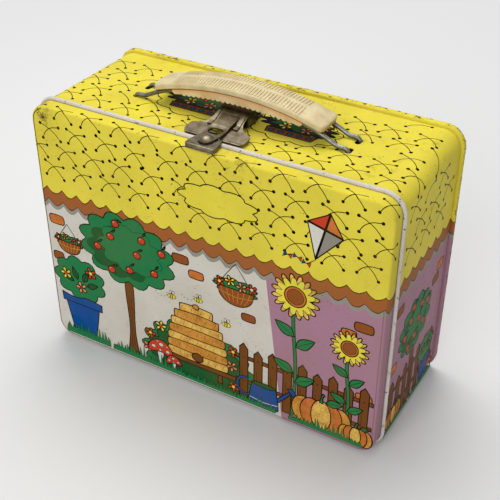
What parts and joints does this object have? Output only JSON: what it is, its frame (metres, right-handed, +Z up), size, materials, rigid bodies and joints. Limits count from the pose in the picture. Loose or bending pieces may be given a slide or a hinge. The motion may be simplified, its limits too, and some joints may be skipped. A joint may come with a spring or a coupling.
{
  "type": "steel lunch box",
  "caption": "Lithographed steel lunch box with a hinged lid, a sprung thumb latch, a ribbed plastic carrying handle on wires and a swinging bottle clip inside.",
  "frame": {"origin": "the middle of the footprint, on the surface that the box stands on", "axes": "+X along the box's width to the right of someone facing the lid, +Y from the lid through the box to the back panel, +Z up towards the handle"},
  "size_m": [0.2196, 0.0896, 0.1802],
  "materials": {
    "litho_front": "gloss lithograph on tinplate, scuffed at the fold",
    "litho_band": "gloss lithograph on tinplate",
    "litho_back": "gloss lithograph on tinplate",
    "latch_steel": "tarnished nickel-plated steel",
    "fastener_steel": "plated steel",
    "hinge_steel": "plated steel sheet",
    "wire_steel": "drawn steel wire, dulled",
    "grip_plastic": "aged cream moulded plastic",
    "grip_plastic_lower": "aged cream moulded plastic"
  },
  "bodies": {
    "body": {"band": "litho_band", "back_panel": "litho_back", "latch_base": "latch_steel", "latch_base_rivets": "fastener_steel", "latch_pin": "fastener_steel", "latch_spring": "fastener_steel", "hinge_body_leaf_left": "hinge_steel", "hinge_body_leaf_right": "hinge_steel", "hinge_body_rivets": "fastener_steel", "hinge_pin_left": "fastener_steel", "hinge_pin_right": "fastener_steel", "bottle_clip_bracket_upper": "hinge_steel", "bottle_clip_bracket_lower": "hinge_steel", "bottle_clip_rivets": "fastener_steel"},
    "lid": {"lid_pan": "litho_front", "lid_catch": "latch_steel", "hinge_lid_leaf_left": "hinge_steel", "hinge_lid_leaf_right": "hinge_steel", "hinge_lid_rivets": "fastener_steel"},
    "latch": {"latch_lever": "latch_steel"},
    "handle": {"handle_top_grip": "grip_plastic", "handle_lower_grip": "grip_plastic_lower", "handle_wire_front": "wire_steel", "handle_wire_rear": "wire_steel"},
    "bottle_clip": {"bottle_clip_wire": "wire_steel"}
  },
  "joints": [
    {"name": "lid_hinge", "type": "hinge", "parent": "body", "child": "lid", "pos_m": [0, -0.0337, 0.00145], "axis": [1, 0, 0], "range_deg": [0, 80]},
    {"name": "latch_swing", "type": "hinge", "parent": "body", "child": "latch", "pos_m": [0.0016, 0.0001, 0.163], "axis": [-1, 0, 0], "range_deg": [0, 17], "stiffness_Nm_per_rad": 0.05},
    {"name": "handle_lift", "type": "slide", "parent": "body", "child": "handle", "axis": [0, 0, 1], "range_m": [0, 0.01]},
    {"name": "bottle_clip_swing", "type": "hinge", "parent": "body", "child": "bottle_clip", "pos_m": [0.012, 0.0377, 0.084], "axis": [0, 0, -1], "range_deg": [0, 95]}
  ]
}
